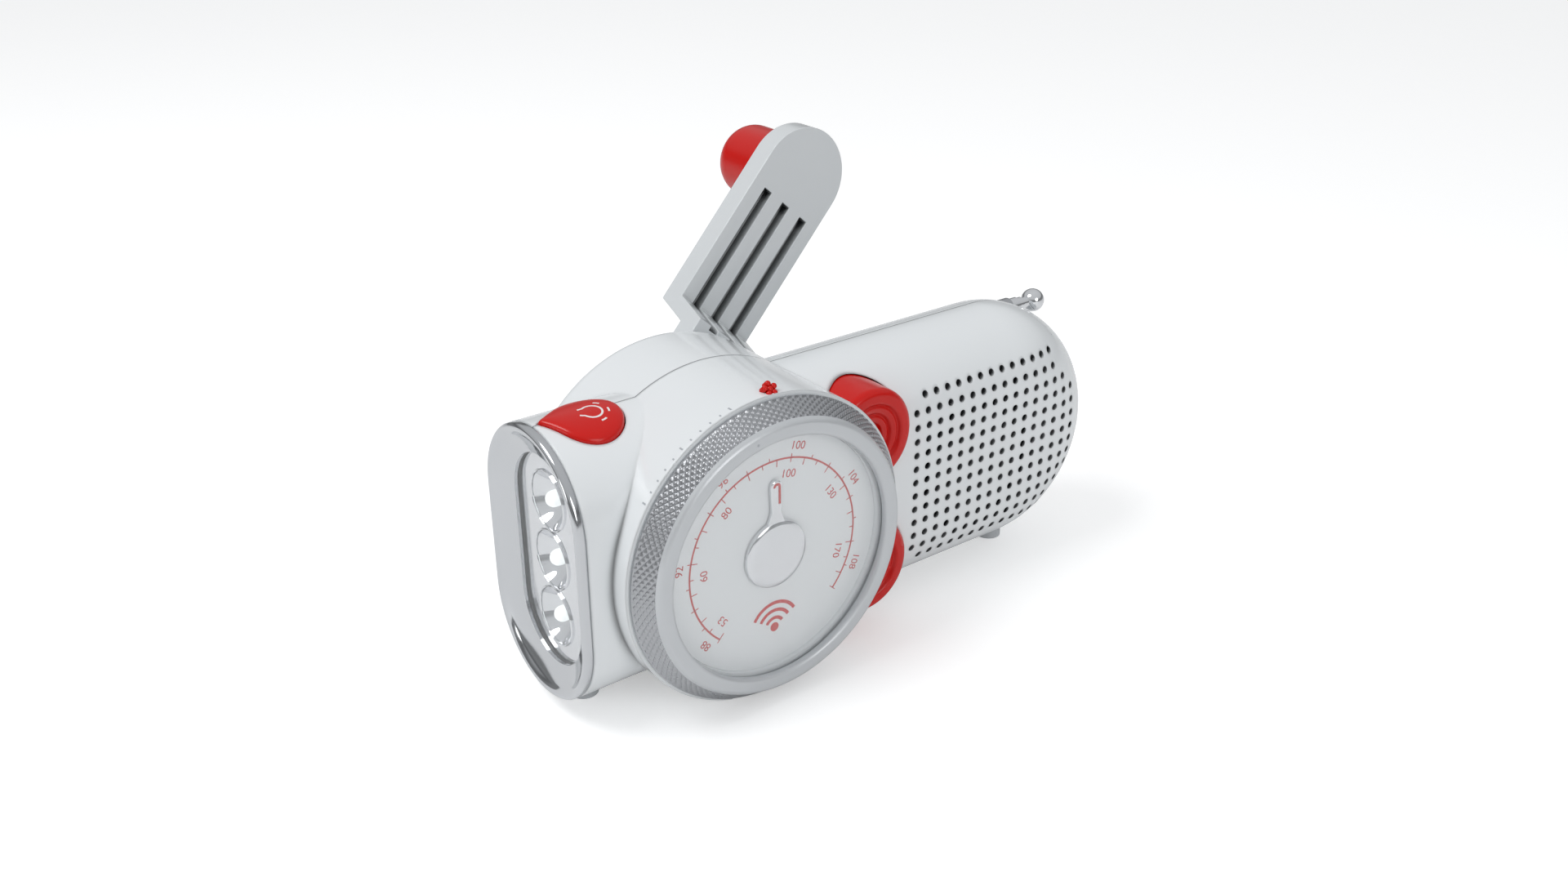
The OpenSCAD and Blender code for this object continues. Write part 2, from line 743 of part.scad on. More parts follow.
module battery_door() color(white) at_axis() {
  box(bay_x + gap, bay_x + bay_l - gap, handle_back - door_t, handle_back, -bay_half + gap, bay_half - gap);
  for (s = [0 : 5]) box(bay_x + 16 + 3 * s, bay_x + 17 + 3 * s, handle_back, handle_back + 0.5, 6, 13);
}

// ---------- sockets ----------

module socket_cover() color(black) at_axis() {
  box(socket_x - cover_half_w, socket_x + cover_half_w, drum_back - cover_t, drum_back,
      socket_z - cover_half_h, socket_z + cover_half_h);
  box(socket_x - 5, socket_x + 5, drum_back, drum_back + 0.8,
    socket_z + cover_half_h - 2, socket_z + cover_half_h);
}

module socket(r, x) {
  y1 = drum_back - cover_t - gap;
  at_axis() difference() {
    box(x - 5, x + 5, y1 - socket_depth, y1, socket_z - 4.6, socket_z + 4.6);
    cyl_y(r, y1 - socket_depth + 1.4, y1 + 1, x, socket_z);
  }
}

module power_socket() color(black) socket(power_r, socket_x - socket_pitch);
module earphone_socket() color(black) socket(earphone_r, socket_x);
module charge_socket() color(black) socket(charge_r, socket_x + socket_pitch);

module socket_board() color(green) at_axis() {
  y = drum_back - cover_t - gap - socket_depth;
  box(socket_x - 16, socket_x + 16, y - board_t, y, socket_z - 5, socket_z + 5);
}

// ---------- antenna ----------

module antenna_sleeve() color(steel) at_axis() difference() {
  cyl_x(sleeve_r, sleeve_x, handle_end - 20, antenna_y, antenna_z);
  cyl_x(tube_r + run, sleeve_x + 1.5, far, antenna_y, antenna_z);
}

module antenna_tube() color(silver) at_axis() difference() {
  cyl_x(tube_r, sleeve_x + 1.5 + gap, handle_end - 16, antenna_y, antenna_z);
  cyl_x(rod_r + run, sleeve_x + 3, far, antenna_y, antenna_z);
}

module antenna_rod() color(silver) at_axis() {
  cyl_x(rod_r, sleeve_x + 3 + gap, ball_x, antenna_y, antenna_z);
  translate([ball_x, antenna_y, antenna_z]) sphere(r = ball_r);
}

front_shell();
back_shell();
case_screws();
rubber_feet();
head_bezel();
head_lens();
lamp_reflector();
lamp_leds();
lamp_board();
light_button();
button_spring();
light_switch();
tuning_ring();
dial_lens();
pointer_cap();
tuning_shaft();
dial_plate();
tuning_lamp();
tuning_capacitor();
main_board();
volume_knob();
volume_shaft();
volume_control();
band_knob();
band_shaft();
band_switch();
control_board();
speaker_frame();
speaker_cone();
crank_hub();
hub_gear();
fold_pin();
crank_arm();
grip_pin();
crank_grip();
idler_gear();
idler_pin();
generator_rotor();
generator_can();
gear_plate();
battery_cells();
battery_contacts();
battery_door();
socket_cover();
power_socket();
earphone_socket();
charge_socket();
socket_board();
antenna_sleeve();
antenna_tube();
antenna_rod();
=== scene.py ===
"""Emergency radio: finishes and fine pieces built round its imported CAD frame, with a pale studio."""

import json
import math

import bmesh
import bpy
from bpy.props import FloatProperty, FloatVectorProperty, IntProperty, PointerProperty
from mathutils import Matrix, Vector


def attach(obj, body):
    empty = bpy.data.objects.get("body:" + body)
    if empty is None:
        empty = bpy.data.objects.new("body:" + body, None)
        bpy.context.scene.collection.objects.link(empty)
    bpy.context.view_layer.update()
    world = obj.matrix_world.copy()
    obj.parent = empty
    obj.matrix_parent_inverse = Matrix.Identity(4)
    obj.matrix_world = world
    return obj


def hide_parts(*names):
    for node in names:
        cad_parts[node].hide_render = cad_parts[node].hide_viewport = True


bl_info = {
    "name": "Emergency Radio",
    "version": (1, 0, 0),
    "blender": (4, 5, 0),
    "location": "3D View > Sidebar > Radio",
    "description": "Builds the fine pieces, finishes and studio of a hand-crank emergency radio",
    "category": "Object",
}

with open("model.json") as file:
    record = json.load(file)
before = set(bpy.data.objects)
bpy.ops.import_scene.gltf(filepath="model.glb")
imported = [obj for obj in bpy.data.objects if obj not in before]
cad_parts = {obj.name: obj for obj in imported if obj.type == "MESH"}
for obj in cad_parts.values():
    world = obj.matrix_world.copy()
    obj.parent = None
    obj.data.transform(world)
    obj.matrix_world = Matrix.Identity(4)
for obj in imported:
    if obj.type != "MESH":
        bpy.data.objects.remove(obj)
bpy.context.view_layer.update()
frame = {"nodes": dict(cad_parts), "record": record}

MM = 0.001
AXIS_H = 49.0          # height of the dial axis above the table
STRAIGHT = 16.8        # half of the straight side of the head's outline
HEAD_R = 26.6          # radius of the head's round top and bottom
HEAD_Y = 0.4           # middle of the head from front to back
DIAL_FACE = -35.5      # front face of the dial plate
LENS_BACK = -37.5      # back face of the dial window
RING_BACK = -33.3
RING_FRONT = -41.2
KNOB_FACE = -30.4
KNOB_BACK = -10.5
KNOB_X, KNOB_Z = 41.5, 22.5
DROP_X, DROP_Y, DROP_TURN = -41.2, -3.1, 165.0
CRANK_ANGLE = 48.5
PRINT_LIFT = 0.06      # thickness of printed marks
DRUM_R = 49.2          # radius of the round housing
LAMP_PITCH = 19.2      # distance between the lamps


# ---------- settings ----------

def colour(name, value, description):
    return FloatVectorProperty(name=name, description=description, subtype="COLOR", size=4,
                               min=0.0, max=1.0, default=value)


class RadioFinish(bpy.types.PropertyGroup):
    shell: colour("Shell", (0.80, 0.825, 0.84, 1), "Colour of the moulded casing and crank")
    red: colour("Red parts", (0.60, 0.004, 0.001, 1), "Colour of the knobs, lamp button and grip")
    silver: colour("Satin silver", (0.60, 0.62, 0.64, 1), "Colour of the tuning ring and pointer")
    plating: colour("Plating", (0.80, 0.81, 0.83, 1), "Colour of the bezel, bowls and antenna")
    dial: colour("Dial", (0.82, 0.84, 0.85, 1), "Colour of the dial plate")
    ink: colour("Dial ink", (0.58, 0.035, 0.025, 1), "Colour of the scale's arc and numbers")
    polish: FloatProperty(name="Casing roughness", description="Roughness of the casing's gloss",
                          default=0.19, min=0.02, max=0.8, subtype="FACTOR")


class RadioDetail(bpy.types.PropertyGroup):
    knurls: IntProperty(name="Knurls", description="Diamonds round the tuning ring",
                        default=112, min=40, max=160)
    knurl_depth: FloatProperty(name="Knurl depth", description="Depth of the knurling in the tuning ring",
                               default=0.00050, min=0.0001, max=0.001, unit="LENGTH", precision=5)
    number_size: FloatProperty(name="Number height", description="Height of the numbers on the dial",
                               default=0.0036, min=0.002, max=0.006, unit="LENGTH", precision=4)
    arm_round: FloatProperty(name="Arm edge", description="Round on the edges of the crank arm",
                             default=0.0009, min=0.0002, max=0.0015, unit="LENGTH", precision=4)


# ---------- node groups and materials ----------

def group_socket(tree, name, kind, way, default=None):
    socket = tree.interface.new_socket(name=name, in_out=way, socket_type=kind)
    if default is not None:
        socket.default_value = default
    return socket


def moulding_group():
    """Slow colour drift, a varying roughness and a fine surface relief, as a moulded or plated skin has."""
    tree = bpy.data.node_groups.get("Radio moulded skin")
    if tree:
        return tree
    tree = bpy.data.node_groups.new("Radio moulded skin", "ShaderNodeTree")
    group_socket(tree, "Colour", "NodeSocketColor", "INPUT", (0.8, 0.8, 0.8, 1))
    group_socket(tree, "Drift", "NodeSocketFloat", "INPUT", 0.04)
    group_socket(tree, "Grain Scale", "NodeSocketFloat", "INPUT", 900.0)
    group_socket(tree, "Roughness", "NodeSocketFloat", "INPUT", 0.3)
    group_socket(tree, "Roughness Spread", "NodeSocketFloat", "INPUT", 0.08)
    group_socket(tree, "Colour", "NodeSocketColor", "OUTPUT")
    group_socket(tree, "Roughness", "NodeSocketFloat", "OUTPUT")
    group_socket(tree, "Height", "NodeSocketFloat", "OUTPUT")
    n, link = tree.nodes.new, tree.links.new
    gin, gout = n("NodeGroupInput"), n("NodeGroupOutput")
    where = n("ShaderNodeTexCoord")
    slow, fine, smear = n("ShaderNodeTexNoise"), n("ShaderNodeTexNoise"), n("ShaderNodeTexNoise")
    slow.inputs["Scale"].default_value = 22.0
    slow.inputs["Detail"].default_value = 2.0
    smear.inputs["Scale"].default_value = 95.0
    smear.inputs["Detail"].default_value = 5.0
    fine.inputs["Detail"].default_value = 3.0
    for noise in (slow, fine, smear):
        link(where.outputs["Object"], noise.inputs["Vector"])
    link(gin.outputs["Grain Scale"], fine.inputs["Scale"])
    darker = n("ShaderNodeHueSaturation")
    darker.inputs["Value"].default_value = 0.72
    link(gin.outputs["Colour"], darker.inputs["Color"])
    amount = n("ShaderNodeMath")
    amount.operation = "MULTIPLY"
    link(slow.outputs["Fac"], amount.inputs[0])
    link(gin.outputs["Drift"], amount.inputs[1])
    mix = n("ShaderNodeMix")
    mix.data_type = "RGBA"
    link(amount.outputs[0], mix.inputs["Factor"])
    link(gin.outputs["Colour"], mix.inputs[6])
    link(darker.outputs["Color"], mix.inputs[7])
    link(mix.outputs[2], gout.inputs["Colour"])
    centred = n("ShaderNodeMath")
    centred.operation = "SUBTRACT"
    centred.inputs[1].default_value = 0.5
    link(smear.outputs["Fac"], centred.inputs[0])
    spread = n("ShaderNodeMath")
    spread.operation = "MULTIPLY_ADD"
    link(centred.outputs[0], spread.inputs[0])
    link(gin.outputs["Roughness Spread"], spread.inputs[1])
    link(gin.outputs["Roughness"], spread.inputs[2])
    link(spread.outputs[0], gout.inputs["Roughness"])
    link(fine.outputs["Fac"], gout.inputs["Height"])
    return tree


def finish_material(name, base, rough, metallic=0.0, drift=0.08, grain=900.0, spread=0.10, relief=0.02,
                    coat=0.0, specular=0.5, alpha=None, emission=None, seam=False, blend=0.0, crevice=0.0):
    """One finish: the shared skin feeds colour, roughness and bump; fixed numbers sit on the shader."""
    mat = bpy.data.materials.get(name)
    if mat:
        return mat
    mat = bpy.data.materials.new(name)
    mat.use_nodes = True
    tree = mat.node_tree
    n, link = tree.nodes.new, tree.links.new
    shader = tree.nodes["Principled BSDF"]
    skin = n("ShaderNodeGroup")
    skin.node_tree = moulding_group()
    skin.inputs["Colour"].default_value = base
    skin.inputs["Drift"].default_value = drift
    skin.inputs["Grain Scale"].default_value = grain
    skin.inputs["Roughness"].default_value = rough
    skin.inputs["Roughness Spread"].default_value = spread
    tint = skin.outputs["Colour"]
    if seam:
        tint = seam_line(tree, tint)
    # painted shade: the colour is darkened in narrow holes and grooves
    if crevice:
        shaded = n("ShaderNodeGroup")
        shaded.node_tree = crevice_group()
        shaded.inputs["Reach"].default_value = crevice
        link(tint, shaded.inputs["Colour"])
        tint = shaded.outputs["Colour"]
    link(tint, shader.inputs["Base Color"])
    link(skin.outputs["Roughness"], shader.inputs["Roughness"])
    bump = n("ShaderNodeBump")
    bump.inputs["Strength"].default_value = relief
    bump.inputs["Distance"].default_value = 0.0004
    link(skin.outputs["Height"], bump.inputs["Height"])
    link(bump.outputs["Normal"], shader.inputs["Normal"])
    if blend:
        soft = n("ShaderNodeBevel")
        soft.samples = 6
        soft.inputs["Radius"].default_value = blend
        link(soft.outputs["Normal"], bump.inputs["Normal"])
    shader.inputs["Metallic"].default_value = metallic
    shader.inputs["Coat Weight"].default_value = coat
    shader.inputs["Coat Roughness"].default_value = 0.06
    shader.inputs["Specular IOR Level"].default_value = specular
    if alpha is not None:
        shader.inputs["Alpha"].default_value = alpha
    if emission:
        shader.inputs["Emission Color"].default_value = emission
        shader.inputs["Emission Strength"].default_value = 0.6
    return mat


def crevice_group():
    """Painted shade: darkens the colour in narrow holes and grooves, where neighbouring walls stand closer than
    Reach.
    """
    tree = bpy.data.node_groups.get("Radio crevices")
    if tree:
        return tree
    tree = bpy.data.node_groups.new("Radio crevices", "ShaderNodeTree")
    group_socket(tree, "Colour", "NodeSocketColor", "INPUT", (0.8, 0.8, 0.8, 1))
    group_socket(tree, "Reach", "NodeSocketFloat", "INPUT", 0.004)
    group_socket(tree, "Colour", "NodeSocketColor", "OUTPUT")
    n, link = tree.nodes.new, tree.links.new
    gin, gout = n("NodeGroupInput"), n("NodeGroupOutput")
    open_sky = n("ShaderNodeAmbientOcclusion")
    open_sky.samples = 6
    open_sky.only_local = True
    link(gin.outputs["Reach"], open_sky.inputs["Distance"])
    depth = n("ShaderNodeMapRange")
    depth.inputs["From Min"].default_value = 0.42
    depth.inputs["From Max"].default_value = 0.72
    link(open_sky.outputs["AO"], depth.inputs["Value"])
    shade = n("ShaderNodeMix")
    shade.data_type = "RGBA"
    shade.inputs["A"].default_value = (0.012, 0.013, 0.015, 1)
    link(depth.outputs["Result"], shade.inputs["Factor"])
    link(gin.outputs["Colour"], shade.inputs["B"])
    link(shade.outputs["Result"], gout.inputs["Colour"])
    return tree


def seam_line(tree, tint):
    """Darkens the thin joint where the two halves of the casing meet, on the plane of the dial axis."""
    n, link = tree.nodes.new, tree.links.new
    where, split, size, near, mix = (n("ShaderNodeTexCoord"), n("ShaderNodeSeparateXYZ"), n("ShaderNodeMath"),
                                     n("ShaderNodeMapRange"), n("ShaderNodeMix"))
    link(where.outputs["Object"], split.inputs[0])
    size.operation = "ABSOLUTE"
    link(split.outputs["Y"], size.inputs[0])
    near.inputs["From Min"].default_value = 0.00012
    near.inputs["From Max"].default_value = 0.00026
    near.inputs["To Min"].default_value = 0.85
    near.inputs["To Max"].default_value = 0.0
    link(size.outputs[0], near.inputs["Value"])
    mix.data_type = "RGBA"
    link(near.outputs["Result"], mix.inputs["Factor"])
    link(tint, mix.inputs[6])
    mix.inputs[7].default_value = (0.22, 0.23, 0.25, 1)
    return mix.outputs[2]


def finishes():
    """Every finish of the radio, by the record's slot names and a few of its own."""
    f = bpy.context.scene.radio_finish
    shell, red, silver = tuple(f.shell), tuple(f.red), tuple(f.silver)
    plating, dial, ink = tuple(f.plating), tuple(f.dial), tuple(f.ink)
    make = finish_material
    return {
        "white_shell": make("White gloss shell", shell, f.polish, drift=0.05, grain=1400, relief=0.012,
                            coat=0.35,
                            seam=True, blend=0.0016, crevice=0.004),
        # The crank's white is the shell's white made darker: painted shade on the crank, its hub and the battery
        # door.
        "white_arm": make("White gloss crank, painted shade", (0.66, 0.685, 0.70, 1), f.polish, drift=0.05, grain=1400,
                          relief=0.012, coat=0.35, crevice=0.0042),
        "red_plastic": make("Red gloss plastic", red, 0.26, drift=0.16, grain=1200, relief=0.02, coat=0.15,
                            specular=0.3),
        "satin_silver": make("Satin silver paint", silver, 0.32, metallic=0.35, drift=0.10, grain=2600,
                             relief=0.06),
        "knurled_silver": make("Knurled silver", (0.46, 0.47, 0.49, 1), 0.27, metallic=0.9, drift=0.12,
                               grain=2600,
                               relief=0.05),
        # The bezel's plating is made darker than the bright plating: painted shade that greys its reflection.
        "bezel_plating": make("Bezel plating, painted shade", (0.62, 0.635, 0.655, 1), 0.10, metallic=1.0, drift=0.06,
                              grain=500,
                              spread=0.05, relief=0.01),
        "bright_plating": make("Bright plating", plating, 0.07, metallic=1.0, drift=0.05, grain=500,
                               spread=0.05,
                               relief=0.01),
        "clear_window": make("Clear window", (0.93, 0.96, 0.98, 1), 0.05, drift=0.02, spread=0.02, relief=0.0,
                             alpha=0.10),
        "lamp_body": make("Clear lamp resin", (0.90, 0.92, 0.86, 1), 0.10, drift=0.05, coat=0.5,
                          emission=(0.9, 0.95, 1.0, 1)),
        "dial_face": make("Dial plate print", dial, 0.38, drift=0.05, grain=2000, relief=0.02),
        "dial_ink": make("Dial ink", ink, 0.5, drift=0.2, grain=2500, relief=0.05),
        "grey_ink": make("Grey ink", (0.42, 0.44, 0.47, 1), 0.5, drift=0.2, grain=2500, relief=0.05),
        "white_ink": make("White ink", (0.85, 0.80, 0.80, 1), 0.4, drift=0.1, grain=2500, relief=0.05),
        "steel": make("Bright steel", (0.50, 0.51, 0.53, 1), 0.30, metallic=1.0, drift=0.15, grain=700,
                      relief=0.05),
        "black_rubber": make("Black rubber", (0.018, 0.018, 0.02, 1), 0.62, drift=0.3, grain=1500,
                             relief=0.25),
        "pale_rubber": make("Pale rubber", (0.55, 0.57, 0.59, 1), 0.6, drift=0.2, grain=1500, relief=0.2),
        "speaker_cloth": make("Speaker cloth", (0.006, 0.006, 0.007, 1), 0.9, drift=0.4, grain=3500,
                              relief=0.6),
        "black_plastic": make("Black plastic", (0.02, 0.02, 0.022, 1), 0.45, drift=0.2, grain=1500,
                              relief=0.15),
        "circuit_board": make("Circuit board lacquer", (0.02, 0.14, 0.06, 1), 0.32, drift=0.5, grain=300,
                              relief=0.1),
        "gear_nylon": make("Natural nylon", (0.72, 0.68, 0.56, 1), 0.42, drift=0.1, grain=800, relief=0.08),
        "cream_plastic": make("Cream plastic", (0.62, 0.57, 0.44, 1), 0.4, drift=0.1, grain=800, relief=0.08),
        "cell_wrap": make("Cell film", (0.05, 0.16, 0.30, 1), 0.25, drift=0.2, grain=400, relief=0.05,
                          coat=0.3),
    }


# ---------- mesh helpers ----------

def piece(name, verts, faces, finish, body, stands_for=(), crease=32.0):
    """A closed mesh from points in millimetres, with its finish, its body and its slot."""
    mesh = bpy.data.meshes.new(name)
    bm = bmesh.new()
    made = [bm.verts.new(Vector(v) * MM) for v in verts]
    for face in faces:
        if len(set(face)) > 2:
            bm.faces.new([made[i] for i in face])
    bmesh.ops.recalc_face_normals(bm, faces=bm.faces)
    bm.to_mesh(mesh)
    bm.free()
    return adopt(name, mesh, finish, body, stands_for, crease)


def adopt(name, mesh, finish, body, stands_for=(), crease=32.0):
    mesh.materials.clear()
    mesh.materials.append(finishes()[finish])
    for poly in mesh.polygons:
        poly.use_smooth = True
    mesh.set_sharp_from_angle(angle=math.radians(crease))
    obj = bpy.data.objects.new(name, mesh)
    bpy.context.collection.objects.link(obj)
    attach(obj, body)
    if stands_for:
        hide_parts(*stands_for)
    return obj


def loft(rings, closed=False, cap=False):
    """Faces between rings of equal length; closed joins the last ring to the first."""
    verts = [p for ring in rings for p in ring]
    size, faces = len(rings[0]), []
    for i in range(len(rings) if closed else len(rings) - 1):
        a, b = i * size, (i + 1) % len(rings) * size
        faces += [(a + j, a + (j + 1) % size, b + (j + 1) % size, b + j) for j in range(size)]
    if cap:
        faces += [tuple(range(size)), tuple(range(len(verts) - size, len(verts)))]
    return verts, faces


def merge(*meshes):
    verts, faces = [], []
    for v, f in meshes:
        base = len(verts)
        verts += v
        faces += [tuple(i + base for i in face) for face in f]
    return verts, faces


def turned(profile, centre=(0, 0), segments=128, closed=True, relief=None, along="Y"):
    """Turns [radius, distance] points about an axis parallel to Y (or X) through centre."""
    rings = []
    for i, (r, d) in enumerate(profile):
        ring = []
        for j in range(segments):
            t = 2 * math.pi * j / segments
            rr = r + (relief(i, t) if relief else 0)
            if along == "Y":
                ring.append((centre[0] + rr * math.cos(t), d, centre[1] + AXIS_H + rr * math.sin(t)))
            else:
                ring.append((d, centre[0] + rr * math.cos(t), centre[1] + AXIS_H + rr * math.sin(t)))
        rings.append(ring)
    return loft(rings, closed=closed, cap=not closed)


def rounded(points, radius, steps=5):
    """Rounds the corners of an open line of points."""
    out = [points[0]]
    for a, b, c in zip(points, points[1:], points[2:]):
        va, vc = Vector(a) - Vector(b), Vector(c) - Vector(b)
        cut = min(radius, va.length * 0.45, vc.length * 0.45)
        p, q = Vector(b) + va.normalized() * cut, Vector(b) + vc.normalized() * cut
        for k in range(steps + 1):
            t = k / steps
            out.append(tuple((1 - t) ** 2 * p + 2 * t * (1 - t) * Vector(b) + t * t * q))
    return out + [points[-1]]


def stadium(x, r, arc=40):
    """Upright outline of the head at x, with ends of radius r."""
    ring = []
    for side in (1, -1):
        for k in range(arc + 1):
            t = math.pi * k / arc + (0 if side > 0 else math.pi)
            ring.append((x, HEAD_Y + r * math.cos(t), AXIS_H + side * STRAIGHT + r * math.sin(t)))
    return ring


def ribbon(path, width, place, lift=PRINT_LIFT):
    """A thin printed line along 2D points; place(u, v, h) puts a point on the surface."""
    rings = []
    for i, p in enumerate(path):
        a, b = Vector(path[max(i - 1, 0)]), Vector(path[min(i + 1, len(path) - 1)])
        side = Vector((-(b - a).y, (b - a).x)).normalized() * (width / 2)
        q = Vector(p)
        rings.append([place(*(q + side), 0), place(*(q + side), lift),
                      place(*(q - side), lift), place(*(q - side), 0)])
    return loft(rings, cap=True)


def arc_path(r, start, end, steps=96, centre=(0, 0)):
    return [(centre[0] + r * math.cos(math.radians(start + (end - start) * k / steps)),
             centre[1] + r * math.sin(math.radians(start + (end - start) * k / steps))) for k in range(steps + 1)]


def softened(node, name, width, finish, body, crease=30.0):
    """A copy of a CAD piece with rounded edges, standing for it."""
    bm = bmesh.new()
    bm.from_mesh(frame["nodes"][node].data)
    bmesh.ops.remove_doubles(bm, verts=bm.verts, dist=1e-6)
    bmesh.ops.dissolve_limit(bm, angle_limit=math.radians(1.0), verts=bm.verts, edges=bm.edges)
    mesh = bpy.data.meshes.new(name)
    bm.to_mesh(mesh)
    bm.free()
    obj = adopt(name, mesh, finish, body, (node,), crease)
    bevel = obj.modifiers.new("Edges", "BEVEL")
    bevel.width = width
    bevel.segments = 3
    bevel.limit_method = "ANGLE"
    bevel.angle_limit = math.radians(crease)
    bevel.harden_normals = True
    return obj


# ---------- pieces ----------

class RadioPiece:
    bl_options = {"REGISTER", "UNDO"}

    def execute(self, context):
        self.build(context.scene.radio_detail)
        return {"FINISHED"}


class RADIO_OT_finishes(RadioPiece, bpy.types.Operator):
    """Gives every CAD piece the finish of its material slot"""
    bl_idname = "radio.finishes"
    bl_label = "Finishes"

    def build(self, detail):
        table = finishes()
        slots = {s["node"]: s["material_slot"] for s in frame["record"]["subparts"]}
        for node, obj in frame["nodes"].items():
            for slot in obj.material_slots:
                slot.material = table[slots[node]]


class RADIO_OT_bezel(RadioPiece, bpy.types.Operator):
    """Plated bezel with a rolled lip and a flared throat round the lamp window"""
    bl_idname = "radio.bezel"
    bl_label = "Bezel"

    def build(self, detail):
        line = [(-56.3, 24.0), (-56.3, 26.55), (-58.4, 26.55), (-59.2, 25.7), (-59.2, 24.9), (-58.7, 23.9)]
        sections = rounded(line, 0.7, 4)
        for k in range(1, 11):
            t = k / 10
            sections.append((-58.7 + 3.7 * t ** 0.75, 23.9 - 6.9 * t))
        sections += [(-54.0, 17.0), (-54.0, 19.0)]
        verts, faces = loft([stadium(x, r, 48) for x, r in sections], closed=True)
        piece("bezel", verts, faces, "bezel_plating", "body", ("head_bezel",), 50)


class RADIO_OT_bowls(RadioPiece, bpy.types.Operator):
    """Plated lamp carrier with three faceted bowls"""
    bl_idname = "radio.bowls"
    bl_label = "Lamp bowls"

    def build(self, detail):
        plate, rim, bowl_r, pitch, facets = -53.2, -53.85, 8.95, LAMP_PITCH, 18
        parts = []
        bm = bmesh.new()
        loops = [[(plate, y, z) for _, y, z in stadium(plate, 16.9, 40)]]
        for k in (-1, 0, 1):
            loops.append([(plate, HEAD_Y + 9.5 * math.cos(t), AXIS_H + k * pitch + 9.5 * math.sin(t))
                          for t in (2 * math.pi * j / 72 for j in range(72))])
        edges = []
        for ring in loops:
            vs = [bm.verts.new(Vector(p) * MM) for p in ring]
            edges += [bm.edges.new((vs[i], vs[(i + 1) % len(vs)])) for i in range(len(vs))]
        bmesh.ops.triangle_fill(bm, edges=edges, use_beauty=True)
        skirt = [bm.verts.new(Vector((-45.2, y, z)) * MM) for _, y, z in stadium(plate, 16.9, 40)]
        edge = [min(bm.verts, key=lambda p, q=v: (p.co - q.co - Vector((plate + 45.2, 0, 0)) * MM).length)
                for v in skirt]
        for i in range(len(skirt)):
            m = (i + 1) % len(skirt)
            bm.faces.new((skirt[i], skirt[m], edge[m], edge[i]))
        for k in (-1, 0, 1):
            middle = AXIS_H + k * pitch

            def ring(x, r, count, turn=0.0):
                return [(x, HEAD_Y + r * math.cos(t + turn), middle + r * math.sin(t + turn))
                        for t in (2 * math.pi * j / count for j in range(count))]

            barrel = [(plate, 9.5), (rim + 0.3, 9.5), (rim, 9.3), (rim, 9.1), (rim + 0.3, bowl_r),
                      (plate + 0.4, 8.9), (plate + 0.4, 9.4)]
            parts.append(loft([ring(x, r, 72) for x, r in barrel], closed=True))
            steps = 5
            bowl = []
            for i in range(steps + 1):
                r = bowl_r - (bowl_r - 2.9) * i / steps
                depth = rim + 0.6 + 7.2 * (1 - (r / bowl_r) ** 2)
                bowl.append(ring(depth, r, facets, (i % 2) * math.pi / facets))
            for i, (wide, narrow) in enumerate(zip(bowl, bowl[1:])):
                a = [bm.verts.new(Vector(p) * MM) for p in wide]
                b = [bm.verts.new(Vector(p) * MM) for p in narrow]
                for j in range(facets):
                    m = (j + 1) % facets
                    bm.faces.new((a[j], a[m], b[m if i % 2 else j]))
                    bm.faces.new((a[j if i % 2 else m], b[m], b[j]))
        verts, faces = merge(*parts)
        made = [bm.verts.new(Vector(v) * MM) for v in verts]
        for f in faces:
            bm.faces.new([made[i] for i in f])
        bmesh.ops.remove_doubles(bm, verts=bm.verts, dist=1e-6)
        bmesh.ops.recalc_face_normals(bm, faces=bm.faces)
        mesh = bpy.data.meshes.new("lamp_bowls")
        bm.to_mesh(mesh)
        bm.free()
        adopt("lamp_bowls", mesh, "bright_plating", "body", ("lamp_reflector",), 12)


def head_top(y, rise=0.0):
    """Height of the head's top above the table at y."""
    r = HEAD_R + rise
    return AXIS_H + STRAIGHT + math.sqrt(max(r * r - (y - HEAD_Y) ** 2, 0))


def drop_point(u, v):
    """A point of the lamp button's own plan turned into the radio's plan."""
    t = math.radians(DROP_TURN)
    return (DROP_X + u * math.cos(t) - v * math.sin(t), DROP_Y + u * math.sin(t) + v * math.cos(t))


class RADIO_OT_lamp_button(RadioPiece, bpy.types.Operator):
    """Drop-shaped lamp button, crowned to the head's curve, with its lamp sign"""
    bl_idname = "radio.lamp_button"
    bl_label = "Lamp button"

    def outline(self, r=10.55, tip=13.9):
        a = math.degrees(math.acos(r / tip))
        points = [Vector(p) for p in arc_path(r, a, 360 - a, 84)]
        nose = Vector((tip, 0))
        flanks = [points[-1].lerp(nose, k / 10) for k in range(1, 10)]
        other = [nose.lerp(points[0], k / 10) for k in range(1, 10)]
        return points + flanks + [nose - Vector((0.15, 0))] + other

    def build(self, detail):
        rim = self.outline()
        rings = []
        for s, rise in ((0.02, 1.62), (0.2, 1.62), (0.4, 1.6), (0.6, 1.56), (0.75, 1.5), (0.86, 1.36),
                        (0.92, 1.2),
                        (0.96, 0.98), (0.985, 0.66), (1.0, 0.25), (1.0, -0.8), (1.0, -2.4)):
            ring = []
            for p in rim:
                x, y = drop_point(*(p * s))
                ring.append((x, y, head_top(y, rise)))
            rings.append(ring)
        verts, faces = loft(rings, cap=True)
        piece("lamp_button", verts, faces, "red_plastic", "light_button",
              ("light_button",), 60)

        def place(u, v, h):
            x, y = drop_point(u, v)
            return (x, y, head_top(y, 1.585 + h))

        lamp = ribbon(arc_path(3.0, 40, 320, 40, (-1.6, 0)), 0.6, place)
        neck = [ribbon([(0.7, s * 1.93), (2.2, s * 1.5)], 0.6, place) for s in (-1, 1)]
        rays = [ribbon(arc_path(4.9, a - 11, a + 11, 6, (-1.6, 0)), 0.55, place) for a in (120, 180, 240)]
        verts, faces = merge(lamp, *neck, *rays)
        piece("lamp_sign", verts, faces, "white_ink", "light_button")


